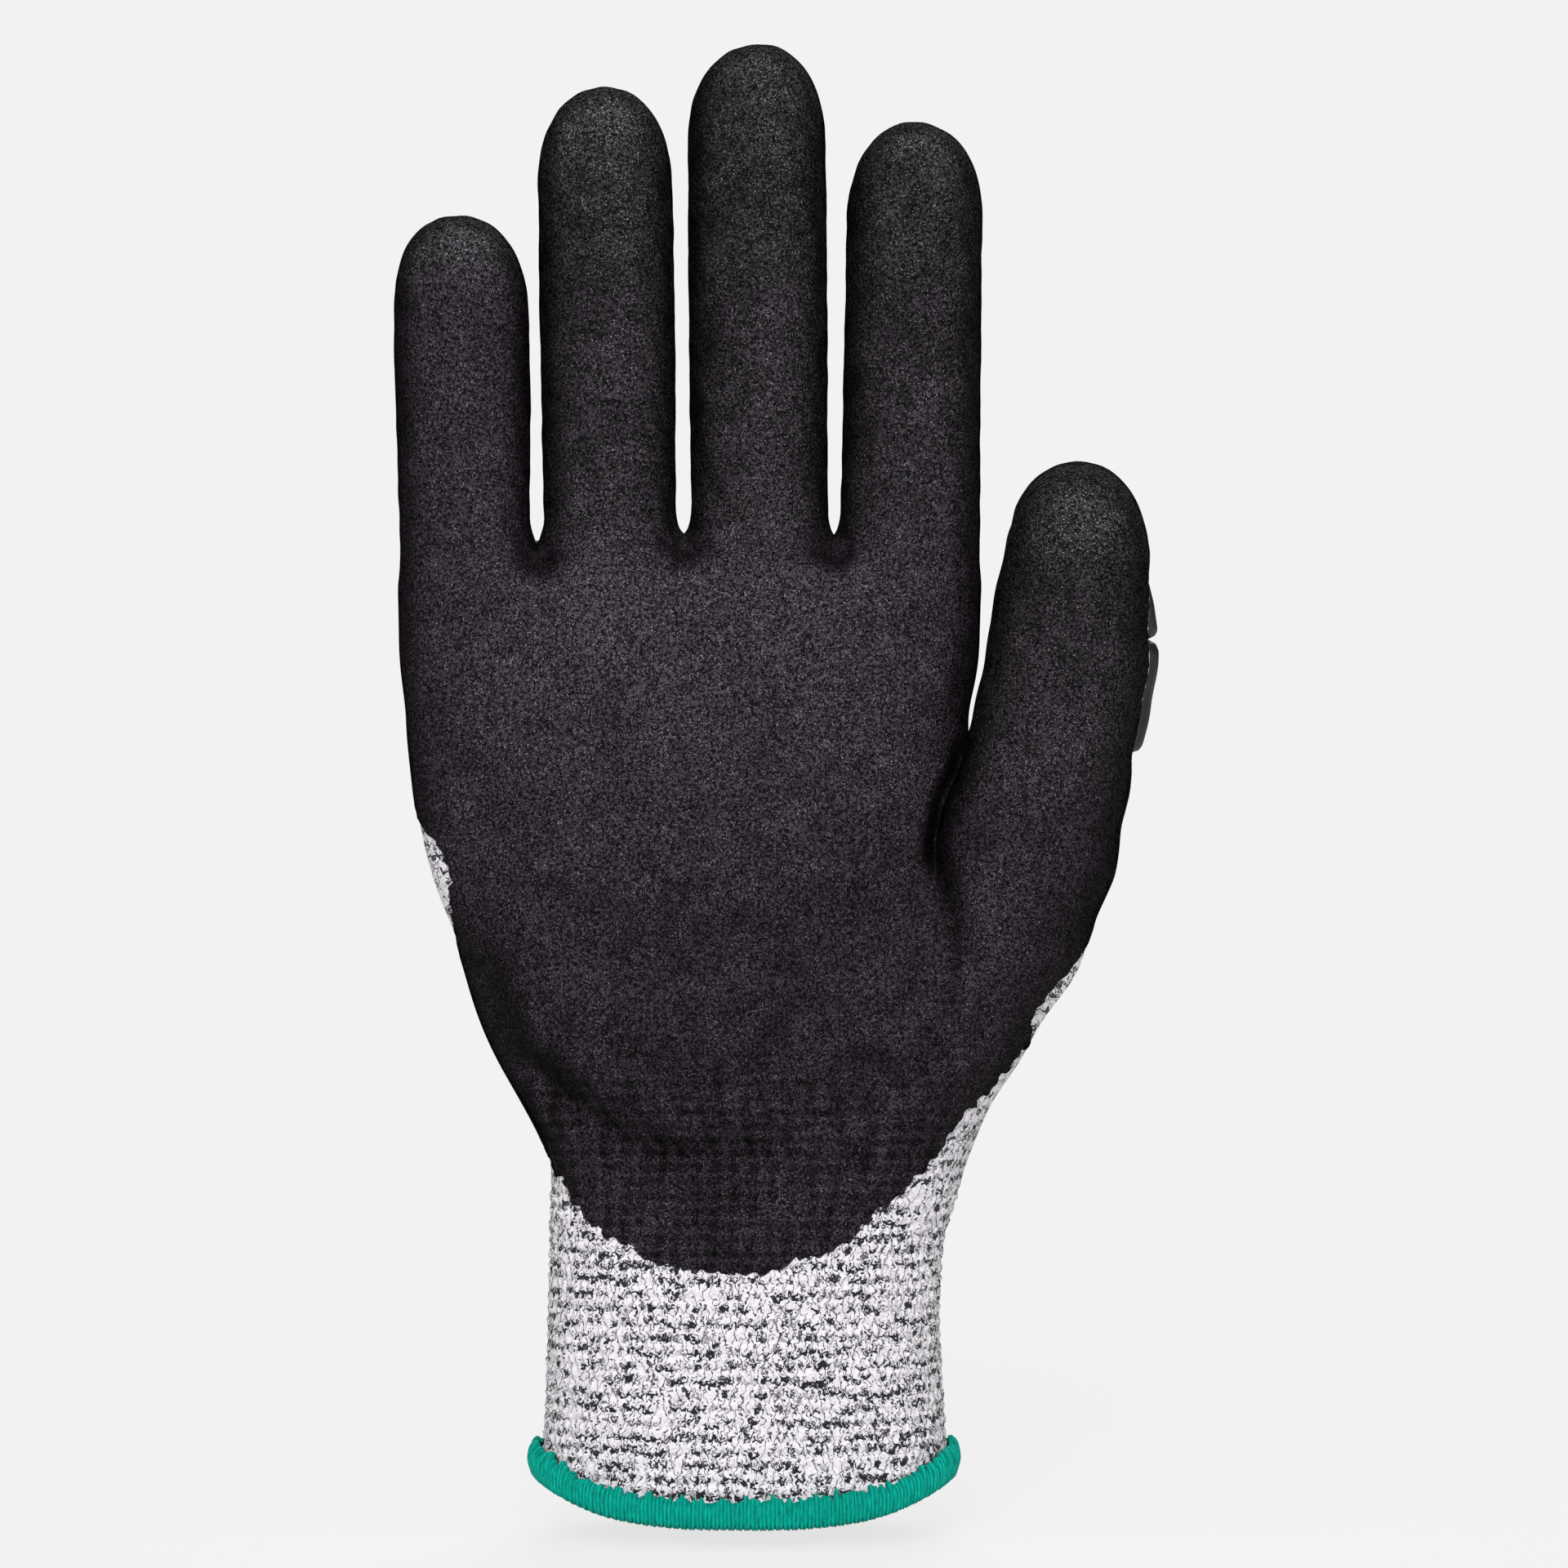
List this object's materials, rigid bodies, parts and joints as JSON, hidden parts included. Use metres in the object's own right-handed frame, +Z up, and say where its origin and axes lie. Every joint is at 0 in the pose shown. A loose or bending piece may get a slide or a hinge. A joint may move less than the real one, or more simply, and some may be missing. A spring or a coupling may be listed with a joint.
{
  "type": "cut resistant glove",
  "caption": "Right-hand knitted cut resistant work glove with a dipped nitrile palm, bound cuff hem and moulded impact guards on the back.",
  "frame": {"origin": "in the plane of the cuff's hem, under the middle of the glove's box, 5.3 mm to the thumb side and 1.0 mm to the palm side of the cuff opening's centre", "axes": "+Z up along the fingers, -Y the way the palm faces, +X to the thumb side"},
  "size_m": [0.128, 0.0448, 0.25],
  "materials": {
    "knit": "heathered knit, off-white with dark flecks",
    "nitrile": "sandy micro-foam, matt",
    "hem_thread": "overlocked textured thread",
    "guard_rubber": "smooth moulded, satin",
    "elastic_yarn": "covered elastic yarn"
  },
  "bodies": {
    "cuff": {"liner_cuff": "knit", "hem_binding": "hem_thread", "cuff_elastic": "elastic_yarn", "coating_cuff": "nitrile"},
    "palm": {"liner_palm": "knit", "coating_palm": "nitrile", "guard_back_radial": "guard_rubber", "guard_back_middle": "guard_rubber", "guard_back_ulnar": "guard_rubber"},
    "knuckles": {"liner_knuckles": "knit", "coating_knuckles": "nitrile", "guard_knuckles": "guard_rubber"},
    "little_proximal": {"liner_little_proximal": "knit", "coating_little_proximal": "nitrile", "guard_little_proximal": "guard_rubber"},
    "little_middle": {"liner_little_middle": "knit", "coating_little_middle": "nitrile", "guard_little_middle": "guard_rubber"},
    "little_distal": {"liner_little_distal": "knit", "coating_little_distal": "nitrile", "guard_little_distal": "guard_rubber"},
    "ring_proximal": {"liner_ring_proximal": "knit", "coating_ring_proximal": "nitrile", "guard_ring_proximal": "guard_rubber"},
    "ring_middle": {"liner_ring_middle": "knit", "coating_ring_middle": "nitrile", "guard_ring_middle": "guard_rubber"},
    "ring_distal": {"liner_ring_distal": "knit", "coating_ring_distal": "nitrile", "guard_ring_distal": "guard_rubber"},
    "middle_proximal": {"liner_middle_proximal": "knit", "coating_middle_proximal": "nitrile", "guard_middle_proximal": "guard_rubber"},
    "middle_middle": {"liner_middle_middle": "knit", "coating_middle_middle": "nitrile", "guard_middle_middle": "guard_rubber"},
    "middle_distal": {"liner_middle_distal": "knit", "coating_middle_distal": "nitrile", "guard_middle_distal": "guard_rubber"},
    "index_proximal": {"liner_index_proximal": "knit", "coating_index_proximal": "nitrile", "guard_index_proximal": "guard_rubber"},
    "index_middle": {"liner_index_middle": "knit", "coating_index_middle": "nitrile", "guard_index_middle": "guard_rubber"},
    "index_distal": {"liner_index_distal": "knit", "coating_index_distal": "nitrile", "guard_index_distal": "guard_rubber"},
    "thumb_base": {"liner_thumb_base": "knit", "coating_thumb_base": "nitrile", "guard_thumb_base": "guard_rubber"},
    "thumb_proximal": {"liner_thumb_proximal": "knit", "coating_thumb_proximal": "nitrile", "guard_thumb_proximal": "guard_rubber"},
    "thumb_distal": {"liner_thumb_distal": "knit", "coating_thumb_distal": "nitrile", "guard_thumb_distal": "guard_rubber"}
  },
  "joints": [
    {"name": "wrist_fold", "type": "hinge", "parent": "cuff", "child": "palm", "pos_m": [-0.00534, 0.00095, 0.061], "axis": [1, 0, 0], "range_deg": [-45, 55], "stiffness_Nm_per_rad": 0.3},
    {"name": "knuckle_fold", "type": "hinge", "parent": "palm", "child": "knuckles", "pos_m": [-0.00534, -0.00005, 0.149], "axis": [1, 0, 0], "range_deg": [-10, 45], "stiffness_Nm_per_rad": 0.12},
    {"name": "little_base_fold", "type": "hinge", "parent": "knuckles", "child": "little_proximal", "pos_m": [-0.05224, -0.00025, 0.175], "axis": [1, 0, 0], "range_deg": [-10, 40], "stiffness_Nm_per_rad": 0.03},
    {"name": "little_middle_fold", "type": "hinge", "parent": "little_proximal", "child": "little_middle", "pos_m": [-0.05224, -0.00114, 0.189], "axis": [1, 0, 0], "range_deg": [0, 85], "stiffness_Nm_per_rad": 0.012},
    {"name": "little_end_fold", "type": "hinge", "parent": "little_middle", "child": "little_distal", "pos_m": [-0.05224, -0.00282, 0.205], "axis": [1, 0, 0], "range_deg": [0, 55], "stiffness_Nm_per_rad": 0.008},
    {"name": "ring_base_fold", "type": "hinge", "parent": "knuckles", "child": "ring_proximal", "pos_m": [-0.02774, -0.00025, 0.175], "axis": [1, 0, 0], "range_deg": [-10, 40], "stiffness_Nm_per_rad": 0.03},
    {"name": "ring_middle_fold", "type": "hinge", "parent": "ring_proximal", "child": "ring_middle", "pos_m": [-0.02774, -0.00096, 0.1945], "axis": [1, 0, 0], "range_deg": [0, 85], "stiffness_Nm_per_rad": 0.012},
    {"name": "ring_end_fold", "type": "hinge", "parent": "ring_middle", "child": "ring_distal", "pos_m": [-0.02774, -0.00256, 0.2175], "axis": [1, 0, 0], "range_deg": [0, 55], "stiffness_Nm_per_rad": 0.008},
    {"name": "middle_base_fold", "type": "hinge", "parent": "knuckles", "child": "middle_proximal", "pos_m": [-0.00254, -0.00025, 0.175], "axis": [1, 0, 0], "range_deg": [-10, 40], "stiffness_Nm_per_rad": 0.03},
    {"name": "middle_middle_fold", "type": "hinge", "parent": "middle_proximal", "child": "middle_middle", "pos_m": [-0.00254, -0.00095, 0.197], "axis": [1, 0, 0], "range_deg": [0, 85], "stiffness_Nm_per_rad": 0.012},
    {"name": "middle_end_fold", "type": "hinge", "parent": "middle_middle", "child": "middle_distal", "pos_m": [-0.00254, -0.00257, 0.2225], "axis": [1, 0, 0], "range_deg": [0, 55], "stiffness_Nm_per_rad": 0.008},
    {"name": "index_base_fold", "type": "hinge", "parent": "knuckles", "child": "index_proximal", "pos_m": [0.02276, -0.00025, 0.175], "axis": [1, 0, 0], "range_deg": [-10, 40], "stiffness_Nm_per_rad": 0.03},
    {"name": "index_middle_fold", "type": "hinge", "parent": "index_proximal", "child": "index_middle", "pos_m": [0.02276, -0.00102, 0.1935], "axis": [1, 0, 0], "range_deg": [0, 85], "stiffness_Nm_per_rad": 0.012},
    {"name": "index_end_fold", "type": "hinge", "parent": "index_middle", "child": "index_distal", "pos_m": [0.02276, -0.00265, 0.2145], "axis": [1, 0, 0], "range_deg": [0, 55], "stiffness_Nm_per_rad": 0.008},
    {"name": "thumb_base_fold", "type": "hinge", "parent": "palm", "child": "thumb_base", "pos_m": [0.03266, -0.00105, 0.1], "axis": [-0.1414, 0, 0.9899], "range_deg": [-25, 10], "stiffness_Nm_per_rad": 0.03},
    {"name": "thumb_middle_fold", "type": "hinge", "parent": "thumb_base", "child": "thumb_proximal", "pos_m": [0.04756, -0.00825, 0.1375], "axis": [-0.8148, 0.5705, 0.1035], "range_deg": [-30, 0], "stiffness_Nm_per_rad": 0.02},
    {"name": "thumb_end_fold", "type": "hinge", "parent": "thumb_proximal", "child": "thumb_distal", "pos_m": [0.04875, -0.00908, 0.15143], "axis": [-0.8148, 0.5705, 0.1035], "range_deg": [-55, 0], "stiffness_Nm_per_rad": 0.012}
  ]
}
